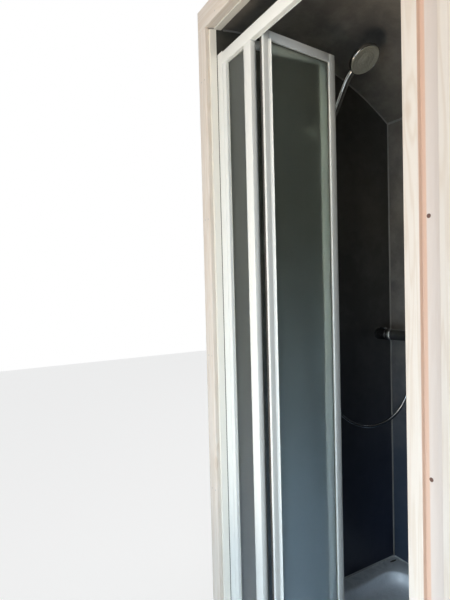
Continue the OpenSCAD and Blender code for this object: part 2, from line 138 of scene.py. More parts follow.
class Value:
    """A number, colour or vector in one shader graph, with arithmetic that adds nodes."""

    def __init__(self, graph: "Graph", socket: bpy.types.NodeSocket) -> None:
        """Wraps an output socket of the graph."""
        self.graph = graph
        self.socket = socket

    def _math(self, operation: str, first: Any, second: Any) -> "Value":
        """Returns a Math node's result for two values or numbers."""
        return self.graph.node("ShaderNodeMath", {"operation": operation}, {0: first, 1: second})

    def __add__(self, other: Any) -> "Value":
        """Returns the sum."""
        return self._math("ADD", self, other)

    __radd__ = __add__

    def __sub__(self, other: Any) -> "Value":
        """Returns the difference."""
        return self._math("SUBTRACT", self, other)

    def __rsub__(self, other: Any) -> "Value":
        """Returns the difference with this value last."""
        return self._math("SUBTRACT", other, self)

    def __mul__(self, other: Any) -> "Value":
        """Returns the product."""
        return self._math("MULTIPLY", self, other)

    __rmul__ = __mul__

    def __pow__(self, other: Any) -> "Value":
        """Returns the power."""
        return self._math("POWER", self, other)

    def __gt__(self, other: Any) -> "Value":
        """Returns 1 where this value is the greater, and 0 elsewhere."""
        return self._math("GREATER_THAN", self, other)

    def __lt__(self, other: Any) -> "Value":
        """Returns 1 where this value is the smaller, and 0 elsewhere."""
        return self._math("LESS_THAN", self, other)

    def wave(self) -> "Value":
        """Returns the sine, from -1 to 1."""
        return self._math("SINE", self, 0)

    def fade(self, start: float, end: float) -> "Value":
        """Turns this value into a smooth share.

        Args:
            start: where the share is 0.
            end: where it is 1. It may be below start.

        Returns:
            The share.
        """
        settings = {"interpolation_type": "SMOOTHSTEP"}
        low, high, a, b = (start, end, 0, 1) if start < end else (end, start, 1, 0)
        inputs = {"Value": self, "From Min": low, "From Max": high, "To Min": a, "To Max": b}
        return self.graph.node("ShaderNodeMapRange", settings, inputs)

    def between(self, low: float, high: float) -> "Value":
        """Returns low where this share is 0 and high where it is 1."""
        return self * (high - low) + low


class Graph:
    """The node tree of one material or world."""

    def __init__(self, owner: bpy.types.Material | bpy.types.World) -> None:
        """Empties the owner's node tree.

        Args:
            owner: the material or world.
        """
        self.owner = owner
        owner.use_nodes = True
        self.tree = owner.node_tree
        self.tree.nodes.clear()

    def node(
        self,
        kind: str,
        settings: dict[str, Any] | None = None,
        inputs: dict[str | int, Any] | None = None,
        out: str | int = 0,
    ) -> Value:
        """Adds a node.

        Args:
            kind: the node's type.
            settings: its properties, set first.
            inputs: values or links of its sockets, by name or number.
            out: the output that is wanted, by name or number.

        Returns:
            That output.
        """
        made = self.tree.nodes.new(kind)
        for key, value in (settings or {}).items():
            setattr(made, key, value)
        for key, value in (inputs or {}).items():
            self.feed(made.inputs[key], value)
        return Value(self, made.outputs[out])

    def feed(self, socket: bpy.types.NodeSocket, value: Any) -> None:
        """Links a value to an input socket, or writes it into the socket.

        Args:
            socket: the input socket.
            value: a Value to link, or a number, colour or vector to write.
        """
        if isinstance(value, Value):
            self.tree.links.new(value.socket, socket)
        elif hasattr(value, "__len__") and len(value) == 3 and socket.type == "RGBA":
            socket.default_value = (*value, 1)
        else:
            socket.default_value = value

    def place(self) -> Value:
        """Returns the surface's place in the row frame at rest, in metres."""
        return self.node("ShaderNodeTexCoord", out="Object")

    def axes(self, place: Value) -> tuple[Value, Value, Value]:
        """Returns the three coordinates of a place."""
        split = self.node("ShaderNodeSeparateXYZ", inputs={0: place})
        return tuple(Value(self, socket) for socket in split.socket.node.outputs)

    def stretch(self, place: Value, scale: Point) -> Value:
        """Returns a place with each coordinate multiplied."""
        return self.node("ShaderNodeVectorMath", {"operation": "MULTIPLY"}, {0: place, 1: scale})

    def noise(
        self, place: Value, scale: float, detail: float = 3, rough: float = 0.5, warp: float = 0
    ) -> Value:
        """Adds a noise texture.

        Args:
            place: the place to read it at.
            scale: its features are about 1/scale metres apart.
            detail: the number of finer layers.
            rough: how much the finer layers count.
            warp: how much it is distorted.

        Returns:
            The noise, between 0 and 1.
        """
        inputs = {
            "Vector": place, "Scale": scale, "Detail": detail,
            "Roughness": rough, "Distortion": warp,
        }
        return self.node("ShaderNodeTexNoise", inputs=inputs)

    def cells(self, place: Value, scale: float) -> Value:
        """Returns the distance to the nearest of scattered points, in cells."""
        return self.node("ShaderNodeTexVoronoi", inputs={"Vector": place, "Scale": scale})

    def blend(self, share: Any, first: Any, second: Any) -> Value:
        """Mixes two colours.

        Args:
            share: how much of the second shows.
            first: the colour where share is 0.
            second: the colour where share is 1.

        Returns:
            The mixed colour.
        """
        made = self.tree.nodes.new("ShaderNodeMix")
        made.data_type = "RGBA"
        self.feed(made.inputs["Factor"], share)
        colours = [socket for socket in made.inputs if socket.type == "RGBA"]
        self.feed(colours[0], first)
        self.feed(colours[1], second)
        return Value(self, next(s for s in made.outputs if s.type == "RGBA"))

    def bump(self, height: Value, distance: float, strength: float = 1.0) -> Value:
        """Returns a normal from a height, whose full range is distance metres."""
        inputs = {"Height": height, "Distance": distance, "Strength": strength}
        return self.node("ShaderNodeBump", inputs=inputs, out="Normal")

    def surface(self, inputs: dict[str | int, Any]) -> bpy.types.Material:
        """Ends the graph in one Principled shader.

        Args:
            inputs: values or links of its sockets.

        Returns:
            The material.
        """
        shader = self.node("ShaderNodeBsdfPrincipled", inputs=inputs)
        self.close("ShaderNodeOutputMaterial", shader)
        return self.owner

    def close(self, kind: str, shader: Value) -> None:
        """Adds the output node and links the last shader to it."""
        self.feed(self.tree.nodes.new(kind).inputs["Surface"], shader)


def new_material(name: str) -> Graph:
    """Returns the empty node tree of a new material of that name."""
    return Graph(bpy.data.materials.new(name))


# Finishes


class Axis(Enum):
    """The direction a board's grain runs in."""

    X = 0
    Y = 1
    Z = 2


class Face(Enum):
    """The inner face of a lining panel: its axis, its limit in row metres and the outer side.

    The ceiling's limit is a radius about the axis of its bend.
    """

    LEFT = (0, -0.4012, -1)
    RIGHT = (0, 0.4012, 1)
    BACK = (1, 0.3917, 1)
    CEILING = (2, 1.0512, 1)


@dataclass(frozen=True)
class SlateLaminate:
    """Dark slate-look laminate on the inner face of a board with a bare back."""

    face: Face
    dark: Colour = tone(72, 72, 71)
    light: Colour = tone(110, 108, 105)
    warm: Colour = tone(100, 93, 80)
    painted_cool_light: Colour = tone(31, 50, 72)
    board: Colour = tone(150, 117, 84)

    def outside(self, graph: Graph, place: Value) -> Value:
        """Finds the bare board.

        Args:
            graph: the material's node tree.
            place: the surface's place.

        Returns:
            1 on the board's edges and back, and 0 on the laminated face.
        """
        axis, limit, side = self.face.value
        x, y, z = graph.axes(place)
        if self.face is Face.CEILING:
            across, up = y - (ARC_Y - MID_Y) * MM, z - ARC_Z * MM
            return (across * across + up * up) ** 0.5 > limit
        line = (x, y, z)[axis]
        return line > limit if side > 0 else line < limit

    def material(self) -> bpy.types.Material:
        """Mottles the laminate, paints cool blue light towards the floor, and shows chipped brown
        board behind it.

        Returns:
            The material.
        """
        graph = new_material(f"slate_laminate_{self.face.name.lower()}")
        place = graph.place()
        clouds = graph.noise(place, 4.2, detail=5, rough=0.6, warp=0.7)
        blotches = graph.noise(place, 19, detail=4, rough=0.65)
        specks = graph.noise(place, 210, detail=3, rough=0.7)
        shade = (clouds * 0.55 + blotches * 0.45).fade(0.38, 0.64)
        slate = graph.blend(shade * 0.72 + specks * 0.28, self.dark, self.light)
        warm = graph.noise(place, 2.1, detail=2).fade(0.42, 0.66) * 0.35
        slate = graph.blend(warm, slate, self.warm)
        # painted light: the slate turns cool blue towards the floor, standing in for bluish light
        # from below
        low = graph.axes(place)[2].fade(1.4, 0.15) * 0.85
        slate = graph.blend(low, slate, self.painted_cool_light)
        flakes = graph.noise(graph.stretch(place, (1, 1, 0.3)), 160, detail=3, rough=0.7)
        chip = graph.blend(flakes.fade(0.35, 0.65), self.board, tone(112, 82, 56))
        back = self.outside(graph, place)
        relief = graph.noise(place, 260, detail=3, rough=0.6) * 0.6 + blotches * 0.4
        return graph.surface({
            "Base Color": graph.blend(back, slate, chip),
            "Roughness": back * 0.3 + graph.noise(place, 34, detail=3).between(0.38, 0.56),
            "Normal": graph.bump(relief, 0.00035, 0.55),
        })


@dataclass(frozen=True)
class Pine:
    """Softwood with knots, planed bare or stained white.

    A recess is given by the two values of x, in row metres, that its floor lies between. Its floor
    is darkened as painted shade, and its near edge and flank get a warm tone that is partly bare
    wood and partly painted shade.
    """

    name: str
    grain: Axis
    pale: Colour = tone(222, 186, 134)
    late: Colour = tone(184, 137, 84)
    knot: Colour = tone(112, 70, 38)
    rough: float = 0.58
    recess: tuple[float, float] | None = None

    def material(self) -> bpy.types.Material:
        """Runs rings, fibres and knots along the grain.

        Returns:
            The material.
        """
        graph = new_material(f"{self.name}_{self.grain.name.lower()}")
        place = graph.place()
        run = [0.05 if axis is self.grain else 1.0 for axis in Axis]
        knot_run = [0.4 if axis is self.grain else 1.0 for axis in Axis]
        wander = graph.noise(graph.stretch(place, tuple(0.3 * r for r in run)), 24, detail=2)
        bands = graph.noise(graph.stretch(place, tuple(run)), 46, detail=2, rough=0.4, warp=0.6)
        knots = graph.cells(graph.stretch(place, tuple(knot_run)), 7.5)
        near = knots.fade(0.3, 0.07)
        rings = ((bands * 34 + wander * 9 + near * 5).wave() * 0.5 + 0.5) ** 1.8
        fibre = graph.noise(graph.stretch(place, tuple(0.25 * r for r in run)), 2200, detail=2)
        wood = graph.blend(rings * 0.75 + fibre * 0.2, self.pale, self.late)
        core = knots.fade(0.105, 0.06)
        wood = graph.blend(core, wood, self.knot)
        if self.recess:
            start, end = self.recess
            across = graph.axes(place)[0]
            # painted shade: the recess floor is darkened
            floor = across.fade(start - 0.001, start) * across.fade(end + 0.001, end)
            wood = graph.blend(floor * 0.75, wood, tone(203, 193, 188))
            # warm tone that is bare wood on the flank and painted shade on the floor beside it
            bare = floor * across.fade(start + 0.01, start + 0.007)
            wood = graph.blend(bare * 0.9, wood, tone(207, 174, 153))
        height = rings * 0.5 + fibre * 0.5 - core * 0.3
        return graph.surface({
            "Base Color": wood,
            "Roughness": fibre.between(self.rough - 0.08, self.rough + 0.1),
            "Normal": graph.bump(height, 0.0004, 0.5),
        })


@dataclass(frozen=True)
class PowderCoat:
    """Satin white powder coat on extruded aluminium."""

    colour: Colour = tone(224, 228, 227)
    name: str = "powder_coat"

    def material(self) -> bpy.types.Material:
        """Gives the coat orange peel, faint streaks and soap film low down.

        Returns:
            The material.
        """
        graph = new_material(self.name)
        place = graph.place()
        height = graph.axes(place)[2]
        peel = graph.noise(place, 900, detail=2)
        streak = graph.noise(graph.stretch(place, (1, 1, 0.04)), 160, detail=2)
        film = height.fade(0.9, 0.1) * graph.noise(place, 26, detail=4, rough=0.6).fade(0.45, 0.75)
        dull = graph.blend(streak.fade(0.55, 0.8) * 0.12, self.colour, tone(206, 206, 200))
        return graph.surface({
            "Base Color": graph.blend(film * 0.25, dull, tone(212, 211, 205)),
            "Roughness": graph.noise(place, 12, detail=3).between(0.3, 0.42) + film * 0.15,
            "Normal": graph.bump(peel, 0.00006, 0.5),
        })


@dataclass(frozen=True)
class FrostedGlass:
    """Satin-etched safety glass, lighter and bluer towards the floor: painted light from below."""

    clear: Colour = tone(226, 233, 226)
    low_light_and_drops: Colour = tone(246, 252, 255)
    cool_low_light: Colour = tone(206, 236, 255)
    passing: float = 0.97
    cool_light_share: float = 0.12
    name: str = "frosted_glass"

    def material(self) -> bpy.types.Material:
        """Blurs what is behind the glass, under a thin pale blue layer low down that is painted
        light.

        Returns:
            The material.
        """
        graph = new_material(self.name)
        place = graph.place()
        height = graph.axes(place)[2]
        cloud = graph.noise(place, 14, detail=4, rough=0.6)
        # low weighs the painted light from below, growing towards the floor; the drops are water
        # marks
        low = height.fade(1.5, 0.2) * cloud.between(0.75, 1.15)
        drops = graph.cells(graph.stretch(place, (1, 1, 0.8)), 130).fade(0.18, 0.1)
        pane = graph.node("ShaderNodeBsdfPrincipled", inputs={
            "Base Color": graph.blend(low + drops * 0.1, self.clear, self.low_light_and_drops),
            "Roughness": cloud.between(0.285, 0.315) + low * 0.04,
            "Transmission Weight": self.passing,
            "IOR": 1.2,
            "Specular IOR Level": 0.0,
        })
        film = graph.node("ShaderNodeBsdfPrincipled", inputs={
            "Base Color": self.cool_low_light, "Roughness": 0.7, "Specular IOR Level": 0.0,
        })
        # painted light: a pale blue diffuse layer mixed in low down, for light from below
        share = low * self.cool_light_share
        mix = graph.node("ShaderNodeMixShader", inputs={0: share, 1: pane, 2: film})
        graph.close("ShaderNodeOutputMaterial", mix)
        return graph.owner


@dataclass(frozen=True)
class Metal:
    """Polished or satin metal with faint wipe marks."""

    name: str
    colour: Colour
    rough: float
    brushed: float = 0.0

    def material(self) -> bpy.types.Material:
        """Puts smudges and dried drops in the gloss.

        Returns:
            The material.
        """
        graph = new_material(self.name)
        place = graph.place()
        smudge = graph.noise(place, 38, detail=4, rough=0.6).fade(0.45, 0.75)
        spots = graph.cells(place, 240).fade(0.16, 0.08)
        lines = graph.noise(graph.stretch(place, (0.05, 1, 1)), 1800, detail=2)
        dull = smudge * 0.08 + spots * 0.12 + lines * self.brushed
        return graph.surface({
            "Base Color": graph.blend(spots * 0.3 + smudge * 0.1, self.colour, tone(170, 172, 172)),
            "Metallic": 1.0,
            "Roughness": dull + self.rough,
            "Normal": graph.bump(lines, 0.00002, 0.25),
        })


@dataclass(frozen=True)
class Moulded:
    """Moulded plastic, rubber or sealant of one colour."""

    name: str
    colour: Colour
    worn: Colour
    rough: float
    grain: float = 0.00005

    def material(self) -> bpy.types.Material:
        """Gives the plastic a fine moulded grain and a slightly uneven colour.

        Returns:
            The material.
        """
        graph = new_material(self.name)
        place = graph.place()
        patch = graph.noise(place, 22, detail=4, rough=0.6).fade(0.4, 0.72)
        fine = graph.noise(place, 700, detail=3, rough=0.6)
        gloss = graph.noise(place, 60, detail=3)
        return graph.surface({
            "Base Color": graph.blend(patch * 0.6 + fine * 0.15, self.colour, self.worn),
            "Roughness": gloss.between(self.rough - 0.06, self.rough + 0.08),
            "Normal": graph.bump(fine, self.grain, 0.5),
        })


@dataclass(frozen=True)
class GelCoat:
    """Glossy white gel coat of the tray, with water marks in the basin."""

    colour: Colour = tone(204, 213, 222)
    mark: Colour = tone(180, 189, 198)

    def material(self) -> bpy.types.Material:
        """Marks the coat with tide lines and dried drops.

        Returns:
            The material.
        """
        graph = new_material("gel_coat")
        place = graph.place()
        height = graph.axes(place)[2]
        basin = height.fade(0.079, 0.06)
        tide = graph.noise(place, 16, detail=5, rough=0.65, warp=0.8).fade(0.5, 0.7)
        drops = graph.cells(place, 85).fade(0.2, 0.12)
        share = tide * (basin * 0.4 + 0.12) + drops * basin * 0.25
        return graph.surface({
            "Base Color": graph.blend(share, self.colour, self.mark),
            "Roughness": share * 0.3 + 0.27,
            "Normal": graph.bump(graph.noise(place, 45, detail=2), 0.0002, 0.2),
            "Coat Weight": 0.15,
        })


FRAME_WHITE = PowderCoat()
TRIM_WHITE = PowderCoat(tone(233, 232, 225), "trim_coat")
LEAF_GLASS = FrostedGlass()
FIXED_GLASS = FrostedGlass(cool_light_share=0.01, name="fixed_frosted_glass")
CHROME = Metal("chrome", tone(226, 228, 230), 0.06)
# painted shade: a darker copy of chrome, for the dim reflections on the hand shower and the hose
# nuts
SHOWER_CHROME = Metal("shower_chrome", tone(158, 158, 156), 0.1)
KNOB_CHROME = Metal("knob_chrome", tone(108, 110, 114), 0.14, 0.06)
HOSE_STEEL = Metal("hose_steel", tone(140, 146, 153), 0.2)
SCREW_STEEL = Metal("screw_steel", tone(190, 190, 186), 0.3, 0.1)
SPRAY_GREY = Moulded("spray_disc", tone(120, 122, 113), tone(134, 135, 127), 0.42)
NOZZLE_GREY = Moulded("nozzle_silicone", tone(138, 140, 131), tone(124, 126, 118), 0.5)
SEAL_DARK = Moulded("seal_rubber", tone(52, 50, 48), tone(68, 66, 63), 0.6)
GASKET = Moulded("gasket", tone(190, 192, 186), tone(166, 168, 162), 0.55)
# painted shadow: a dark strip inside the pale gasket, for the shadow line beside it
PANE_SHADOW_LINE = Moulded("glazing_wedge", tone(84, 86, 78), tone(98, 100, 92), 0.6)
GUIDE = Moulded("guide_plastic", tone(214, 213, 207), tone(190, 188, 180), 0.45)
FOOT = Moulded("foot_plastic", tone(52, 52, 54), tone(74, 73, 72), 0.6, 0.0001)
JOINT = Moulded("joint_strip", tone(132, 132, 130), tone(112, 112, 110), 0.5)
SEALANT = Moulded("sealant", tone(158, 164, 168), tone(140, 145, 148), 0.45)
SCREW_BROWN = Moulded("coated_screw", tone(104, 74, 64), tone(82, 58, 50), 0.4)
GEL_COAT = GelCoat()
_made: dict[Any, bpy.types.Material] = {}


def material_of(finish: Any) -> bpy.types.Material:
    """Makes a finish's material at its first use.

    Args:
        finish: the finish.

    Returns:
        The material.
    """
    if finish not in _made:
        _made[finish] = finish.material()
    return _made[finish]


# Mesh work


class Shape:
    """A mesh in the making, in niche millimetres."""

    def __init__(self) -> None:
        """Starts an empty mesh."""
        self.bm = bmesh.new()

    def loft(self, loops: Sequence[Sequence[Vector]], place: Matrix | None = None) -> "Shape":
        """Joins equal loops of points in order, and caps both ends.

        Args:
            loops: the loops, each with the same number of points.
            place: where the shape goes.

        Returns:
            This shape.
        """
        place = place or Matrix.Identity(4)
        rows = [[self.bm.verts.new(place @ Vector(p)) for p in loop] for loop in loops]
        count = len(rows[0])
        for low, high in zip(rows, rows[1:]):
            for k in range(count):
                n = (k + 1) % count
                self.bm.faces.new((low[k], low[n], high[n], high[k]))
        self.bm.faces.new(rows[0][::-1])
        self.bm.faces.new(rows[-1])
        return self

    def lathe(self, rows: Outline, place: Matrix | None = None, sides: int = 48) -> "Shape":
        """Turns an outline about the local Z axis.

        Args:
            rows: its (radius, height) pairs.
            place: where the shape goes.
            sides: the number of facets round it.

        Returns:
            This shape.
        """
        loops = [[Vector((*polar(r, a), z)) for a in round_turn(sides)] for r, z in rows]
        return self.loft(loops, place)

    def prism(
        self,
        outline: Outline,
        low: float,
        high: float,
        place: Matrix | None = None,
        soft: float = 0.0,
        steps: int = 2,
    ) -> "Shape":
        """Extrudes a local XY outline along local Z and rounds its edges.

        Args:
            outline: the corners, in order.
            low: where it starts.
            high: where it ends.
            place: where the prism goes.
            soft: the edges' radius.
            steps: the number of facets across an edge.

        Returns:
            This shape.
        """
        before = set(self.bm.edges)
        self.loft([[Vector((x, y, z)) for x, y in outline] for z in (low, high)], place)
        if soft:
            edges = [edge for edge in self.bm.edges if edge not in before]
            bmesh.ops.recalc_face_normals(self.bm, faces=self.bm.faces)
            bmesh.ops.bevel(
                self.bm, geom=edges, offset=soft, segments=steps, profile=0.5,
                affect="EDGES", clamp_overlap=True,
            )
        return self

    def block(
        self, low: Point, high: Point, soft: float = 0.8, place: Matrix | None = None
    ) -> "Shape":
        """Adds a box with rounded edges.

        Args:
            low: its lowest corner.
            high: its highest corner.
            soft: the edges' radius.
            place: where the box goes.

        Returns:
            This shape.
        """
        (x0, y0, z0), (x1, y1, z1) = low, high
        return self.prism([(x0, y0), (x1, y0), (x1, y1), (x0, y1)], z0, z1, place, soft)

    def surround(
        self,
        low: Point,
        high: Point,
        laps: tuple[float, float],
        inner: float,
        soft: float,
        place: Matrix | None = None,
    ) -> None:
        """Adds the four bars of a strip round a pane.

        Args:
            low: the pane's lowest corner, with the strip's front in y.
            high: its highest corner, with the strip's back in y.
            laps: how far the upright and the level bars reach past the pane's edge.
            inner: how far the bars reach inside it.
            soft: the edges' radius.
            place: where the strip goes.
        """
        (x0, y0, z0), (x1, y1, z1) = low, high
        for a, b in ((x0 - laps[0], x0 + inner), (x1 - inner, x1 + laps[0])):
            self.block((a, y0, z0), (b, y1, z1), soft, place)
        for a, b in ((z0 - laps[1], z0 + inner), (z1 - inner, z1 + laps[1])):
            self.block((x0, y0, a), (x1, y1, b), soft, place)

    def done(
        self,
        name: str,
        finish: Any,
        slot: str,
        body: str = CUBICLE,
        stands_for: Sequence[str] = (),
        smooth: float = 34,
    ) -> bpy.types.Object:
        """slot: the record's material slot; not used.
            body: the CAD body it rides on.
            stands_for: CAD nodes that it replaces.
            smooth: edges flatter than this many degrees are shaded smooth.

        Returns:
            The new object.
        """
        bmesh.ops.recalc_face_normals(self.bm, faces=self.bm.faces)
        self.bm.transform(TO_ROW)
        mesh = bpy.data.meshes.new(name)
        self.bm.to_mesh(mesh)
        self.bm.free()
        mesh.polygons.foreach_set("use_smooth", [True] * len(mesh.polygons))
        mesh.set_sharp_from_angle(angle=math.radians(smooth))
        piece = bpy.data.objects.new(name, mesh)
        bpy.context.scene.collection.objects.link(piece)
        mesh.materials.append(material_of(finish))
        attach(piece, body)
        if stands_for:
            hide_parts(*stands_for)
        LOG.info("piece %s: %d faces", name, len(mesh.polygons))
        return piece


def softened(
    node: str, name: str, finish: Any, slot: str, radius: float, steps: int = 2
) -> None:
    """Rebuilds a sharp CAD node with rounded edges.

    Args:
        node: the CAD node, which the new piece replaces.
        name: the new piece's name.
        finish: what it is made of.
        slot: the record's material slot.
        radius: the edges' radius in millimetres.
        steps: the number of facets across an edge.
    """
    shape = Shape()
    shape.bm.from_mesh(bpy.data.objects[node].data)
    shape.bm.transform(TO_ROW.inverted())
    bm = shape.bm
    bmesh.ops.remove_doubles(bm, verts=bm.verts, dist=WELD)
    bmesh.ops.dissolve_limit(bm, angle_limit=FLAT, verts=bm.verts, edges=bm.edges)
    sharp = [e for e in bm.edges if e.is_manifold and e.calc_face_angle() > SHARP]
    bmesh.ops.bevel(
        bm, geom=sharp, offset=radius, segments=steps, profile=0.5,
        affect="EDGES", clamp_overlap=True,
    )
    shape.done(name, finish, slot, stands_for=[node])


def coated(radii: dict[str, float]) -> None:
    """Rebuilds white door profiles with rounded edges.

    Args:
        radii: the edges' radius of each CAD node.
    """
    for node, radius in radii.items():
        softened(node, f"{node}_coated", FRAME_WHITE, "frame_white", radius)


def dress(node: str, finish: Any) -> None:
    """Gives a CAD node that keeps its shape its material.

    Args:
        node: the CAD node.
        finish: what it is made of.
    """
    made = material_of(finish)
    for holder in bpy.data.objects[node].material_slots:
        holder.material = made
    LOG.info("node %s: %s", node, made.name)


# Sub-assemblies


@dataclass(frozen=True)
class Lamp:
    """A square area lamp: side in metres, power in watts, beam's full angle in degrees."""

    name: str
    place: Point
    aim: Point
    size: float
    watts: float
    tint: Colour = (1.0, 1.0, 1.0)
    spread: float = 180.0

    def hang(self) -> None:
        """Adds the lamp, turned to its aim."""
        data = bpy.data.lights.new(self.name, "AREA")
        data.size = self.size
        data.energy = self.watts
        data.color = self.tint
        data.spread = math.radians(self.spread)
        lamp = bpy.data.objects.new(self.name, data)
        lamp.location = self.place
        way = Vector(self.aim) - Vector(self.place)
        lamp.rotation_mode = "QUATERNION"
        lamp.rotation_quaternion = way.to_track_quat("-Z", "Y")
        bpy.context.scene.collection.objects.link(lamp)


WARM, COOL, SKY = (1.0, 0.82, 0.62), (0.88, 0.95, 1.0), (0.72, 0.88, 1.0)


@dataclass
class Studio:
    """The photograph's camera, seven soft lamps, pale floor and white surroundings.

    Lens and sensor are in millimetres, places in row metres and angles in degrees.
    """

    lens: float = 27.392
    sensor: float = 36.0
    place: Point = (0.91044, -1.15060, 1.23855)
    yaw: float = 60.2823
    pitch: float = -1.7106
    roll: float = -1.4744
    floor_tone: Colour = tone(236, 235, 232)
    shown_tone: Colour = tone(168, 168, 167)
    lift: float = 0.68
    half: float = 7.0
    dim: Colour = (0.94, 0.97, 1.0)
    dim_strength: float = 0.3
    lamps: tuple[Lamp, ...] = (
        Lamp("key", (1.31, -3.14, 1.2), (-0.1, 0, 1.1), 1.2, 15.0, COOL),
        Lamp("high", (0.9, -2.4, 2.5), (-0.1, -0.3, 2.1), 1.0, 3.5, WARM, 60),
        Lamp("side", (2.78, -1.75, 1.2), (-0.2, -0.3, 1.1), 1.0, 14),
        Lamp("left", (-1.3, -3.2, 1.8), (0, -0.3, 1.1), 2.0, 5),
        Lamp("low", (-0.1, -1.05, 0.35), (0.05, 0.1, 2.1), 0.75, 1.95, WARM, 46),
        Lamp("foot", (0.9, -2.6, 0.5), (0, -0.1, 0.2), 1.2, 9.4, SKY, 80),
        Lamp("back", (0.6, 3.8, 2.6), (0, 0, 1.0), 2.6, 70),
    )

    def camera(self) -> None:
        """Sets the camera: yaw 0 looks along +Y, and 90 along -X."""
        data = bpy.data.cameras.new("camera")
        data.lens = self.lens
        data.sensor_width = self.sensor
        seen = bpy.data.objects.new("camera", data)
        a, p, r = (math.radians(v) for v in (self.yaw, self.pitch, self.roll))
        ahead = Vector((-math.sin(a) * math.cos(p), math.cos(a) * math.cos(p), math.sin(p)))
        level = Vector((math.cos(a), math.sin(a), 0))
        up = level.cross(ahead)
        right = level * math.cos(r) + up * math.sin(r)
        up = up * math.cos(r) - level * math.sin(r)
        seen.matrix_world = Matrix.Translation(self.place) @ Matrix(
            (right, up, -ahead)
        ).transposed().to_4x4()
        bpy.context.scene.collection.objects.link(seen)
        bpy.context.scene.camera = seen

    def seen(self, graph: Graph) -> Value:
        """Finds what the camera sees, straight, in metal or through glass.

        Args:
            graph: the node tree.

        Returns:
            1 for such rays, and 0 for the rest.
        """
        path = graph.node("ShaderNodeLightPath", out="Is Camera Ray")
        outs = path.socket.node.outputs
        straight = path + Value(graph, outs["Is Glossy Ray"])
        either = straight + Value(graph, outs["Is Transmission Ray"])
        return graph.node("ShaderNodeClamp", inputs={0: either})

    def world(self) -> None:
        """Sets surroundings that light softly and look white."""
        world = bpy.data.worlds.new("studio")
        bpy.context.scene.world = world
        graph = Graph(world)
        inputs = {"Color": self.dim, "Strength": self.dim_strength}
        dim = graph.node("ShaderNodeBackground", inputs=inputs)
        white = graph.node("ShaderNodeBackground", inputs={"Color": (1, 1, 1), "Strength": 1.0})
        mix = graph.node("ShaderNodeMixShader", inputs={0: self.seen(graph), 1: dim, 2: white})
        graph.close("ShaderNodeOutputWorld", mix)

    def floor(self) -> None:
        """Lays a pale floor, which isn't part of the object."""
        mesh = bpy.data.meshes.new("floor")
        h = self.half
        mesh.from_pydata([(-h, -h, 0), (h, -h, 0), (h, h, 0), (-h, h, 0)], [], [(0, 1, 2, 3)])
        floor = bpy.data.objects.new("floor", mesh)
        bpy.context.scene.collection.objects.link(floor)
        graph = new_material("studio_floor")
        place = graph.place()
        shade = graph.noise(place, 3, detail=2) * 0.1
        plain = graph.blend(shade, self.floor_tone, tone(224, 223, 220))
        seen = self.seen(graph)
        mesh.materials.append(graph.surface({
            "Base Color": graph.blend(seen, plain, self.shown_tone),
            "Roughness": 0.8,
            "Specular IOR Level": 0.2,
            "Emission Color": graph.blend(seen, (0, 0, 0), (self.lift, self.lift, self.lift)),
            "Emission Strength": 1.0,
        }))

    def build(self) -> None:
        """Sets camera, lamps, world and floor."""
        self.camera()
        for lamp in self.lamps:
            lamp.hang()
        self.world()
        self.floor()
        bpy.context.scene.view_settings.view_transform = "Standard"


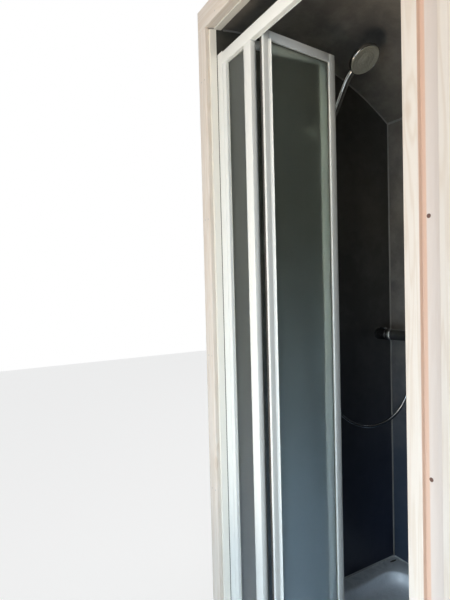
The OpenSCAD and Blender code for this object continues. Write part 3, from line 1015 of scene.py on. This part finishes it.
@dataclass
class Hose:
    """Ribbed metal hose with its two nuts.

    Its length is in metres. Its rings are set out from across, a way that it never runs in.
    """

    diameter: float = 12.0
    length: float = 1.495
    rib: float = 3.2
    rib_depth: float = 0.35
    sides: int = 14
    fine: int = 24
    across: Point = (0.96, -0.28, 0)
    nut: float = 26.0
    nut_drop: float = 54.0
    ridges: int = 30
    route: tuple[Point, ...] = (
        (51.892, 402.541, 1748.358), (39.400, 401.448, 1727.895), (31, 401, 1710.5),
        (26.5, 401, 1693), (24.5, 401, 1672), (23, 401, 1640), (21.5, 401, 1600),
        (20.5, 402, 1555), (20, 402, 1500), (19, 401, 1440), (19, 399, 1365), (19, 396, 1290),
        (20, 393, 1215), (21, 390, 1145), (22, 388, 1080), (24, 387, 1020), (27, 387, 965),
        (30, 389, 920), (34, 394, 880), (39, 402, 845), (45, 414, 812), (53, 431, 782),
        (63, 452, 754), (74, 476, 731), (86, 502, 715), (98, 529, 706), (111, 556, 704),
        (124, 583, 709), (136, 610, 720), (147, 635, 738), (157, 657, 763), (165, 674, 793),
        (171, 686, 826), (175, 694, 862), (177, 699, 900), (177, 700, 940), (177, 700, 970),
    )

    def line(self) -> list[Vector]:
        """Runs a smooth curve through the route's points.

        Returns:
            Its points, half a rib apart.
        """
        points = [Vector(p) for p in self.route]
        points = [points[0] * 2 - points[1], *points, points[-1] * 2 - points[-2]]
        fine: list[Vector] = []
        for a, b, c, d in zip(points, points[1:], points[2:], points[3:]):
            for t in (k / self.fine for k in range(self.fine)):
                fine.append(0.5 * (
                    2 * b + (c - a) * t + (2 * a - 5 * b + 4 * c - d) * t**2
                    + (3 * b - a - 3 * c + d) * t**3
                ))
        fine.append(points[-2])
        lengths = [0.0]
        for a, b in zip(fine, fine[1:]):
            lengths.append(lengths[-1] + (b - a).length)
        count = 2 * round(lengths[-1] / self.rib)
        even, at = [], 0
        for k in range(count + 1):
            want = lengths[-1] * k / count
            while at < len(fine) - 2 and lengths[at + 1] < want:
                at += 1
            share = (want - lengths[at]) / (lengths[at + 1] - lengths[at])
            even.append(fine[at].lerp(fine[at + 1], share))
        return even

    def nuts(self) -> bpy.types.Object:
        """Makes the two conical nuts, each with a knurled band.

        Returns:
            The nuts, as one piece.
        """
        shape, length = Shape(), self.nut
        upper = HandShower().frame() @ moved(0, 0, -self.nut_drop)
        ends = ((upper, 9.5), (moved(*self.route[-1]), 12.0))
        for place, top in ends:
            rows = [
                (5.4, 0), (6.6, 0), (7.0, 0.6), (7.2, 6), (7.8, 9), (top - 1.6, length - 11),
                (top - 0.6, length - 10), (top, length - 9), (top, length - 1.2),
                (top - 0.8, length), (5.4, length),
            ]
            shape.lathe(rows, place, 40)
            ridge = [(-0.35, -0.25), (0.35, -0.25), (0, 0.35)]
            for k in range(self.ridges):
                spin = place @ turned(z=360 / self.ridges * k) @ moved(0, top - 0.15, 0)
                shape.prism(ridge, length - 8, length - 2, spin)
        return shape.done(
            "hose_nuts_turned", SHOWER_CHROME, "shower_chrome", stands_for=["hose_nuts"]
        )

    def build(self) -> None:
        line = self.line()
        shape = Shape()
        loops = []
        for k, point in enumerate(line):
            along = (line[min(k + 1, len(line) - 1)] - line[max(k - 1, 0)]).normalized()
            side = along.cross(Vector(self.across)).normalized()
            other = along.cross(side)
            radius = self.diameter / 2 - (self.rib_depth if k % 2 else 0)
            loops.append([
                point + (side * math.cos(a) + other * math.sin(a)) * radius
                for a in round_turn(self.sides)
            ])
        shape.loft(loops)
        hose = shape.done(
            "shower_hose_ribbed", HOSE_STEEL, "hose_silver", stands_for=["shower_hose"], smooth=60
        )
        path = [tuple(TO_ROW @ p) for p in line]
        self.nuts()


@dataclass
class HandShower:
    """Hand shower in its bracket on the left panel.

    The face's place and tip are given in the handle's own frame.
    """

    holder: Point = (80, 405, 1794.4)
    yaw: float = 5.0
    lean: float = 31.5
    face_at: Point = (49.1, 0, 224.8)
    face_tip: float = 114.0
    head_r: float = 52.0
    nozzle_rings: tuple[tuple[float, int], ...] = (
        (9.5, 8), (18.5, 14), (24.5, 20), (33.5, 26), (37.5, 32),
    )
    ring_outer: float = 17.0
    ring_inner: float = 11.4
    ring_slot: float = 6.5
    ring_half: float = 16.0
    arm_r: float = 10.0
    arm_start: float = 11.0
    arm_gap: float = 13.5

    def frame(self) -> Matrix:
        """Returns the handle's own frame: z up along it, x towards the spray."""
        return moved(*self.holder) @ turned(z=self.yaw) @ turned(y=self.lean)

    def face(self) -> Matrix:
        """Returns the spray face's frame: z out of the face."""
        return self.frame() @ moved(*self.face_at) @ turned(y=self.face_tip)

    def handle(self) -> None:
        """Makes the handle, its bend into the head, and the head's back and rim."""
        shape = Shape()
        spine = [
            ((0, -28), 9.4, 9.4), ((0, -27), 9.9, 9.9), ((0, 16), 10.7, 10.7),
            ((0, 16.6), 12.2, 12.2), ((0, 21.4), 12.2, 12.2), ((0, 22), 10.8, 10.8),
            ((0, 60), 11.0, 11.0), ((0, 100), 11.1, 11.1), ((0, 130), 11.1, 11.2),
            ((0.5, 148), 11.1, 11.5), ((2.2, 162), 11.2, 12.0), ((5.2, 174), 11.3, 12.8),
            ((9.4, 184), 11.2, 14.0), ((14.4, 193.5), 10.6, 15.6), ((19.6, 202), 9.6, 17.2),
        ]
        loops = []
        for k, ((x, z), thick, wide) in enumerate(spine):
            before, after = spine[max(k - 1, 0)][0], spine[min(k + 1, len(spine) - 1)][0]
            slope = math.atan2(after[0] - before[0], after[1] - before[1])
            loops.append([
                Vector((
                    x + thick * math.cos(a) * math.cos(slope),
                    wide * math.sin(a),
                    z - thick * math.cos(a) * math.sin(slope),
                ))
                for a in round_turn(40)
            ])
        shape.loft(loops, self.frame())
        r = self.head_r
        shape.lathe([
            (12, -27.6), (20, -27.1), (28, -25.8), (36, -23), (43, -19.4), (48, -15.8),
            (r - 1, -12.8), (r, -10), (r, -2), (r - 0.4, -0.8), (r - 1.2, -0.1), (r - 2, -0.1),
            (r - 2.5, -0.7), (r - 2.6, -2.9), (10, -2.9),
        ], self.face(), 96)
        shape.done(
            "hand_shower_body", SHOWER_CHROME, "shower_chrome",
            stands_for=["hand_shower"], smooth=40,
        )

    def spray(self) -> None:
        """Makes the grey disc, its grooves and its rings of soft nozzles."""
        shape = Shape()
        shape.lathe([
            (2, -2.8), (49.2, -2.8), (49.2, -0.5), (48.8, 0.3), (47.6, 0.9), (45.4, 1.3),
            (42.4, 1.4), (41.2, 0.9), (40, 0.7), (30, 0.8), (29.4, 0.5), (28.8, 0.8), (15.2, 0.9),
            (14.6, 0.5), (14, 0.9), (2, 1.0),
        ], self.face(), 96)
        shape.done("spray_disc", SPRAY_GREY, "spray_grey", stands_for=["spray_face"])
        nozzles = Shape()
        nozzle = [(1.5, 0), (1.4, 0.5), (0.9, 1.25), (0.5, 1.25), (0.4, 0.7)]
        for ring, count in self.nozzle_rings:
            for k in range(count):
                place = self.face() @ turned(z=360 * k / count) @ moved(ring, 0, 0.4)
                nozzles.lathe(nozzle, place, 10)
        nozzles.done("spray_nozzles", NOZZLE_GREY, "spray_grey")

    def bracket(self) -> None:
        """Makes the wall rose, its arm and the split holder."""
        shape = Shape()
        _, y, z = self.holder
        wall = moved(0, y, z) @ turned(y=90)
        shape.lathe([
            (14, 0), (25.4, 0), (26, 0.8), (26, 4.5), (25.2, 7), (23, 9.2), (19, 10), (11.6, 10.2),
            (10.4, 11), (10, 13), (9, 13),
        ], wall, 64)
        lean = math.radians(self.lean)
        near, far = [], []
        for a in round_turn(48):
            side, rise = polar(self.arm_r, a)
            end = self.holder[0] + (rise * math.sin(lean) - self.arm_gap) / math.cos(lean)
            near.append(Vector((self.arm_start, y + side, z + rise)))
            far.append(Vector((end, y + side, z + rise)))
        shape.loft([near, far])
        steps, outline = 40, []
        for radius, back in ((self.ring_outer, False), (self.ring_inner, True)):
            start = math.asin(self.ring_slot / radius)
            arc = [start + (math.tau - 2 * start) * k / steps for k in range(steps + 1)]
            outline += [polar(radius, a) for a in (reversed(arc) if back else arc)]
        shape.prism(outline, -self.ring_half, self.ring_half, self.frame(), 0.9)
        shape.done(
            "bracket_holder", CHROME, "mixer_chrome", stands_for=["shower_bracket"], smooth=30
        )

    def build(self) -> None:
        """Builds handle, spray face and bracket."""
        self.handle()
        self.spray()
        self.bracket()


@dataclass
class Mixer:
    """Bar mixer on the back panel: body, unions and two end knobs.

    The knobs start at knob_at from the bar's middle.
    """

    middle: Point = (177, 700, 1034)
    half: float = 85.0
    radius: float = 21.0
    union_half: float = 75.0
    wall_gap: float = 100.0
    nut_r: float = 17.0
    nut_span: tuple[float, float] = (16.0, 39.5)
    knob_at: float = 100.0
    knob_r: float = 22.0
    knob_w: float = 56.0
    flutes: int = 24
    flute_steps: int = 6
    flute_depth: float = 0.55
    rib: float = 26.0

    def frame(self) -> Matrix:
        """Returns the bar's own frame, with z along the bar."""
        return moved(*self.middle) @ turned(y=90)

    def body(self) -> None:
        """Makes the bar, its end collars, the spindles, the outlet and the two legs."""
        shape = Shape()
        r, h = self.radius, self.half
        half_rows = [
            (r, 4), (r, h - 1.2), (r - 0.8, h - 0.3), (r - 0.8, h + 0.3), (r + 0.9, h + 0.9),
            (r + 1.5, h + 2), (r + 1.5, h + 6), (r + 0.7, h + 6.6), (r + 0.7, h + 7.4),
            (r + 1.5, h + 8), (r + 1.5, h + 12.6), (r + 0.4, h + 13.9), (9, h + 14),
            (8, h + 14), (8, h + 37.2), (7.2, h + 38),
        ]
        rows = [(a, -b) for a, b in reversed(half_rows)] + half_rows
        shape.lathe(rows, self.frame(), 64)
        middle = moved(*self.middle)
        for side in (-1, 1):
            leg = middle @ moved(side * self.union_half, 0, 0) @ turned(x=-90)
            shape.lathe([
                (15, 8), (15, 26), (14.2, 28), (13.6, 34), (14, 40), (15, 42), (15, 60),
            ], leg, 48)
        shape.lathe([
            (7, -38), (9.2, -38), (10, -37.2), (10, -31), (9.4, -30.4), (9.4, -29.6), (10, -29),
            (10, -24), (11.5, -20), (13, -16),
        ], middle, 48)
        shape.done("mixer_bar", CHROME, "mixer_chrome", stands_for=["mixer_body"], smooth=30)

    def unions(self) -> None:
        """Makes the wall roses and their hexagon nuts."""
        shape = Shape()
        x, y, z = self.middle
        for side in (-1, 1):
            wall = moved(x + side * self.union_half, y + self.wall_gap, z) @ turned(x=90)
            shape.lathe([
                (14, 0), (30.2, 0), (31, 0.8), (31, 3.4), (29.6, 6.4), (25, 9.4), (19, 11.2),
                (15.4, 12), (14, 12), (14, 17),
            ], wall, 64)
            hexagon = [polar(self.nut_r, a) for a in round_turn(6)]
            shape.prism(hexagon, *self.nut_span, wall, 1.0)
        shape.done("mixer_unions_hex", CHROME, "mixer_chrome", stands_for=["mixer_unions"])

    def knob(self, side: int) -> None:
        """Makes one end knob with fluted sides, a cap ring and a thumb rib.

        Args:
            side: -1 for the left knob, 1 for the right one.
        """
        shape = Shape()
        place = self.frame()
        if side < 0:
            place = place @ Matrix.Scale(-1, 4, (0, 0, 1))
        start, r = self.knob_at, self.knob_r
        profile = [
            (0.6, 10.0, 0), (0.75, r - 1.6, 0), (1.8, r - 0.4, 0), (4.6, r, 0), (5.2, r - 0.5, 0),
            (6.0, r - 0.5, 0), (6.6, r, 0), (9, r, 0.2), (12, r, 1), (40, r, 1), (43, r, 0.2),
            (45, r, 0), (45.6, r - 0.6, 0), (46.6, r - 0.6, 0), (47.2, r, 0), (51.5, r, 0),
            (54.4, r - 1.4, 0), (55.8, r - 3.4, 0), (self.knob_w, 16, 0), (55.2, 14.5, 0),
            (55.2, 4, 0),
        ]
        loops = []
        for z, radius, share in profile:
            loop = []
            for angle in round_turn(self.flutes * self.flute_steps):
                wave = (0.5 - 0.5 * math.cos(angle * self.flutes)) ** 2
                dip = self.flute_depth * share * wave
                loop.append(Vector((*polar(radius - dip, angle), start + z)))
            loops.append(loop)
        shape.loft(loops, place)
        rib = [(-r - 4, -3.2), (-r - 3, -4.5), (-r + 6, -4.5), (-r + 6, 4.5), (-r - 3, 4.5),
               (-r - 4, 3.2)]
        low = start + (self.knob_w - self.rib) / 2
        shape.prism(rib, low, low + self.rib, place, 1.2, 3)
        name = "left_knob" if side < 0 else "right_knob"
        shape.done(
            f"{name}_fluted", KNOB_CHROME, "knob_chrome", body=name, stands_for=[name], smooth=30
        )

    def build(self) -> None:
        """Builds the mixer's four pieces."""
        self.body()
        self.unions()
        self.knob(-1)
        self.knob(1)


@dataclass
class Tray:
    """Stone resin tray with its waste cover, sealant and a dark oval on the rim that is painted
    reflection.
    """

    front: float = -12.0
    base: float = 25.0
    ledge: float = 64.0
    corner: float = 60.0
    hole_r: float = 46.0
    hole_z: tuple[float, float] = (30.0, 35.2)
    steps: int = 14
    side_steps: int = 10
    reflection_at: tuple[float, float] = (24.0, 766.0)
    reflection_half: tuple[float, float] = (4.5, 18.0)
    reflection_turn: float = -3.0
    sealant_start: float = 18.0

    def loop(self, inset: float, radius: float, z: float) -> list[Vector]:
        """Returns a rounded rectangle's points, inset from the tray's edge.

        Args:
            inset: distance inside the tray's outer edge.
            radius: the corners' radius.
            z: its height.

        Returns:
            The points, corner by corner, in equal number for every loop.
        """
        x0, x1 = inset + radius, NICHE_W - inset - radius
        y0, y1 = self.front + inset + radius, NICHE_D - inset - radius
        arcs = []
        for x, y, start in ((x1, y1, 0), (x0, y1, 90), (x0, y0, 180), (x1, y0, 270)):
            angles = [math.radians(start + 90 * k / self.steps) for k in range(self.steps + 1)]
            arcs.append([Vector((x, y, z)) + Vector((*polar(radius, a), 0)) for a in angles])
        points = []
        for arc, after in zip(arcs, arcs[1:] + arcs[:1]):
            count = self.side_steps
            points += arc + [arc[-1].lerp(after[0], k / count) for k in range(1, count)]
        return points

    def slab(self) -> None:
        """Makes the slab: round-edged rim, sloped basin walls, a floor that falls to the waste."""
        c, edge = self.corner, self.ledge
        loops = [
            self.loop(0, 1.5, self.base), self.loop(0, 1.5, RIM_Z - 3),
            self.loop(0.9, 1.8, RIM_Z - 0.9), self.loop(3, 3, RIM_Z),
            self.loop(edge - 9, c + 9, RIM_Z - 0.2), self.loop(edge - 4.5, c + 4.5, RIM_Z - 1.1),
            self.loop(edge - 1.2, c + 1.2, RIM_Z - 3.6), self.loop(edge + 0.4, c, RIM_Z - 7.5),
        ]
        wall = [(1.2, 14), (3.4, 26), (6, 32.5), (10.5, 37), (17, 39.8), (26, 41.2), (40, 41.8)]
        loops += [self.loop(edge + i, max(c - i * 0.6, 20), RIM_Z - d) for i, d in wall]
        centre = Vector((NICHE_W / 2, (self.front + NICHE_D) / 2, 0))
        rim = loops[-1]
        for share in (0.15, 0.32, 0.5, 0.68, 0.84, 1.0):
            ring = []
            for point in rim:
                way = point - centre
                way.z = 0
                hole = centre + way.normalized() * self.hole_r
                hole.z = self.hole_z[1]
                ring.append(point.lerp(hole, share))
            loops.append(ring)
        loops.append([Vector((*p.xy, self.hole_z[0])) for p in loops[-1]])
        Shape().loft(loops).done(
            "tray_slab", GEL_COAT, "tray_resin", stands_for=["shower_tray"], smooth=32
        )

    def waste(self) -> None:
        """Makes the domed waste cover, its seat and the tail below."""
        shape = Shape()
        place = moved(NICHE_W / 2, (self.front + NICHE_D) / 2, 0)
        shape.lathe([
            (40, 33), (52, 35.6), (55.4, 36), (56, 36.6), (56, 37.4), (55, 38.1), (46, 38.6),
            (28, 38.9), (3, 39),
        ], place, 72)
        shape.lathe([
            (18, 3), (19.6, 3), (20, 3.6), (20, 14), (21, 16), (26, 22.8), (41, 23), (42, 24),
            (42, 34), (40, 34.5),
        ], place, 56)
        shape.done("waste_cover", CHROME, "waste_steel", stands_for=["tray_waste"])

    def sealant(self) -> None:
        """Makes the bead where the rim meets the three panels."""
        bead = ((-0.6, -0.6), (4.2, -0.6), (4.2, 0.15), (2.0, 1.1), (1.0, 2.2), (0.15, 4.4),
                (-0.6, 4.4))
        w, d, start = NICHE_W, NICHE_D, self.sealant_start
        corners = ((0, start, 1, 0), (0, d, 1, -1), (w, d, -1, -1), (w, start, -1, 0))
        Shape().loft([
            [Vector((x + side * out, y + back * out, RIM_Z + up)) for out, up in bead]
            for x, y, side, back in corners
        ]).done("tray_sealant", SEALANT, "tray_resin")

    def dark_reflection(self) -> None:
        """Makes a small dark oval in the rim's back left corner, a painted reflection of the dark
        corner joint.
        """
        shape = Shape()
        place = moved(*self.reflection_at, RIM_Z) @ turned(z=self.reflection_turn)
        wide, long = self.reflection_half
        outline = [(wide * math.cos(a), long * math.sin(a)) for a in round_turn(32)]
        shape.prism(outline, -3, 0.7, place, 0.5)
        shape.done("rim_plug", SEAL_DARK, "seal_rubber")

    def build(self) -> None:
        """Builds the tray's pieces."""
        self.slab()
        self.waste()
        self.sealant()
        self.dark_reflection()
        dress("tray_feet", FOOT)
        softened("tray_skirt", "tray_skirt_board", GEL_COAT, "tray_resin", 1.5)


@dataclass
class Lining:
    """Wall and ceiling panels, corner strips and edge trims."""

    # painted shade: the left panel's laminate has darker tones than the other panels, for the
    # deeper shade on that wall
    left: SlateLaminate = SlateLaminate(
        Face.LEFT, tone(43, 44, 42), tone(68, 68, 65), tone(60, 57, 48), tone(24, 34, 56)
    )

    def build(self) -> None:
        """Dresses the panels, strips and trims, whose CAD shapes are right."""
        dress("left_wall_panel", self.left)
        dress("right_wall_panel", SlateLaminate(Face.RIGHT))
        dress("back_wall_panel", SlateLaminate(Face.BACK))
        dress("ceiling_panel", SlateLaminate(Face.CEILING))
        dress("corner_strips", JOINT)
        dress("edge_trim", TRIM_WHITE)


@dataclass
class Carcass:
    """Casing boards in front and the timber frame behind the panels."""

    nail_heights: tuple[float, ...] = (120, 560, 1010, 1460, 1910)
    nail_xs: tuple[float, ...] = (-40, -18, 842)
    top_nail_heights: tuple[float, ...] = (2090, 2124)
    top_nail_xs: tuple[float, ...] = (60, 400, 740)
    front: float = -38.0
    screws: tuple[Point, ...] = ((791, -29, 1353), (790, -29, 884))
    recess: tuple[float, float] = (0.378, 0.417)

    def casing(self) -> None:
        """Builds the white-stained boards and their nails."""
        stained = {
            "pale": tone(221, 214, 206), "late": tone(212, 201, 189), "knot": tone(206, 193, 180),
            "rough": 0.5,
        }
        for node, grain, recess in (
            ("left_casing", Axis.Z, None), ("right_casing", Axis.Z, self.recess),
            ("top_casing", Axis.X, None),
        ):
            name = "recess_shaded_pine" if recess else "stained_pine"
            finish = Pine(name, grain, recess=recess, **stained)
            softened(node, f"{node}_board", finish, "casing_boards", 1.6, 3)
        nails = Shape()
        spots = [(x, z) for x in self.nail_xs for z in self.nail_heights]
        spots += [(x, z) for x in self.top_nail_xs for z in self.top_nail_heights]
        for x, z in spots:
            place = moved(x, self.front, z) @ turned(x=90)
            nails.lathe([(2.6, -2), (2.6, 0.05), (2.2, 0.3), (0.8, 0.35)], place, 16)
        nails.done("casing_nails", SCREW_STEEL, "casing_boards")
        sunk = Shape()
        for point in self.screws:
            place = moved(*point) @ turned(x=90)
            sunk.lathe([(4, -3), (4, 0.5), (3.6, 0.9), (3.1, 0.9), (2.2, 0.5), (1, 0.4)], place, 24)
        sunk.done("casing_screws", SCREW_BROWN, "casing_boards")

    def frame(self) -> None:
        """Builds studs, plates, ribs and battens of planed softwood."""
        for node, grain in (
            ("left_studs", Axis.Z), ("right_studs", Axis.Z), ("back_studs", Axis.Z),
            ("sole_plates", Axis.Y), ("top_plates", Axis.Y), ("ceiling_battens", Axis.X),
        ):
            softened(node, f"{node}_planed", Pine("planed_pine", grain), "stud_pine", 1.8)

    def build(self) -> None:
        """Builds the casing and the frame."""
        self.casing()
        self.frame()


@dataclass
class DoorFrame:
    """White frame screwed between the panels, with its fixed glass."""

    glass_x: tuple[float, float] = (52.0, 159.0)
    gasket_y: tuple[float, float] = (10.6, 12.0)
    shadow_strip_x: tuple[float, float] = (1.4, 3.2)
    lip_span: tuple[Point, Point] = ((197, 14.2, HEADER_Z - 1.6), (735, 16.4, HEADER_Z + 0.4))
    screw_heights: tuple[float, ...] = (240, 780, 1320, 1860)

    def gaskets(self) -> None:
        """Makes the gasket round the fixed glass's front face."""
        shape = Shape()
        (x0, x1), (y0, y1) = self.glass_x, self.gasket_y
        shape.surround((x0, y0, THRESHOLD_Z), (x1, y1, HEADER_Z), (0.5, 0), 2.4, 0.4)
        shape.done("fixed_glass_gasket", GASKET, "seal_rubber")

    def joints(self) -> None:
        """Makes the dark strips between the wall profiles and the edge trim: painted shadow for the
        shadow gap there.
        """
        shape = Shape()
        near, far = self.shadow_strip_x
        for a, b in ((near, far), (mirrored(far), mirrored(near))):
            shape.block((a, -0.5, RIM_Z), (b, 0.4, FRAME_TOP + 4), 0.3)
        shape.done("profile_beads", SEAL_DARK, "seal_rubber")

    def lip(self) -> None:
        """Makes the drip lip under the header's back edge."""
        Shape().block(*self.lip_span, 0.6).done("header_lip", FRAME_WHITE, "frame_white")

    def screws(self) -> None:
        """Makes the screws through the right jamb's inner side."""
        shape = Shape()
        for z in self.screw_heights:
            place = moved(mirrored(self.glass_x[0]), 5.4, z) @ turned(y=-90)
            shape.lathe([(3, -2), (3, 0.2), (2.5, 1.1), (1.2, 1.5), (0.6, 1.5)], place, 18)
        shape.done("jamb_screws", SCREW_STEEL, "frame_white")

    def build(self) -> None:
        """Builds the profiles, glass, seals and screws."""
        coated({
            "wall_profiles": 0.6, "jamb_stiles": 0.8, "header_rail": 1.0,
            "threshold_rail": 1.0, "fixed_stile": 1.0,
        })
        softened("closing_strip", "closing_strip_rubber", SEAL_DARK, "seal_rubber", 1.2)
        dress("fixed_glass", FIXED_GLASS)
        self.gaskets()
        self.joints()
        self.lip()
        self.screws()


@dataclass
class Leaves:
    """The two folded leaves, their hinge, guides, grip and seal.

    The panes' spans and the hinge pin's place are given in a leaf's own frame.
    """

    fold_at: Point = (170.3, 22, 0)
    fold_turn: float = 85.5
    slide_at: Point = (234.8, 18.6, 0)
    slide_turn: float = 94.85
    low: float = 96.0
    high: float = 1965.0
    rail: float = 25.0
    fold_pane: tuple[float, float] = (14.0, 249.0)
    slide_pane: tuple[float, float] = (25.0, 270.0)
    hinge_inset: float = 15.0
    pin_at: Point = (293.5, -2, 0)
    pin_past: float = 5.0
    knuckles: int = 24

    def fold(self) -> Matrix:
        """Returns the frame of the leaf that hangs on the fixed stile."""
        return moved(*self.fold_at) @ turned(z=self.fold_turn)

    def slide(self) -> Matrix:
        """Returns the frame of the leaf that slides along the header."""
        return moved(*self.slide_at) @ turned(z=self.slide_turn)

    def pane_gasket(self, name: str, place: Matrix, pane: tuple[float, float]) -> None:
        """Makes the pale gasket round both faces of a leaf's pane, and a darker strip inside it
        that is painted shadow along the gasket.

        Args:
            name: the start of the pieces' names.
            place: the leaf's frame.
            pane: the pane's near and far edge along the leaf.
        """
        (x0, x1), z0, z1 = pane, self.low + self.rail, self.high - self.rail
        for part, finish, lap, inner, faces in (
            ("gasket", GASKET, 0.4, 2.2, ((4.6, 6.0), (10.0, 11.4))),
            # painted shadow strip inside the gasket
            ("wedge", PANE_SHADOW_LINE, -2.3, 5.0, ((5.4, 6.0), (10.0, 10.6))),
        ):
            shape = Shape()
            for y0, y1 in faces:
                shape.surround((x0, y0, z0), (x1, y1, z1), (lap, lap), inner, 0.2, place)
            shape.done(f"{name}_{part}", finish, "seal_rubber")

    def hinge(self) -> None:
        """Makes the full-height hinge, its barrel cut into knuckles."""
        shape = Shape()
        z0, z1 = self.low + self.hinge_inset, self.high - self.hinge_inset
        fold, slide = self.fold(), self.slide()
        shape.block((290, 0, z0), (293, 14, z1), 0.5, fold)
        shape.block((294, 2, z0), (297, 16, z1), 0.5, slide)
        pin = moved(*(fold @ Vector(self.pin_at)))
        z0, z1 = z0 - self.pin_past, z1 + self.pin_past
        step = (z1 - z0) / self.knuckles
        for low in (z0 + k * step for k in range(self.knuckles)):
            rows = [(2.2, low + 0.3), (3.1, low + 0.3), (3.5, low + 0.8), (3.5, low + step - 0.8),
                    (3.1, low + step - 0.3), (2.2, low + step - 0.3)]
            shape.lathe(rows, pin, 20)
        shape.lathe([(2.0, z0), (2.0, z1)], pin, 16)
        shape.done("leaf_hinge_knuckled", GUIDE, "guide_plastic", stands_for=["leaf_hinge"])

    def build(self) -> None:
        """Builds both leaves."""
        coated({
            "fold_leaf_stiles": 1.0, "fold_leaf_rails": 1.0, "slide_leaf_stiles": 1.0,
            "slide_leaf_rails": 1.0, "slide_leaf_grip": 0.6,
        })
        softened("fold_leaf_pivots", "fold_pivot_blocks", GUIDE, "guide_plastic", 0.6)
        softened("slide_leaf_guides", "slide_guide_blocks", GUIDE, "guide_plastic", 1.0)
        softened("slide_leaf_seal", "slide_seal_strip", SEAL_DARK, "seal_rubber", 1.2)
        dress("fold_leaf_glass", LEAF_GLASS)
        dress("slide_leaf_glass", LEAF_GLASS)
        self.pane_gasket("fold_pane", self.fold(), self.fold_pane)
        self.pane_gasket("slide_pane", self.slide(), self.slide_pane)
        self.hinge()


def main() -> None:
    """Builds the studio and every sub-assembly."""
    logging.basicConfig(level=logging.INFO, format="%(message)s")
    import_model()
    Studio().build()
    Hose().build()
    HandShower().build()
    Mixer().build()
    Tray().build()
    Lining().build()
    Carcass().build()
    DoorFrame().build()
    Leaves().build()


if __name__ == "__main__":
    main()
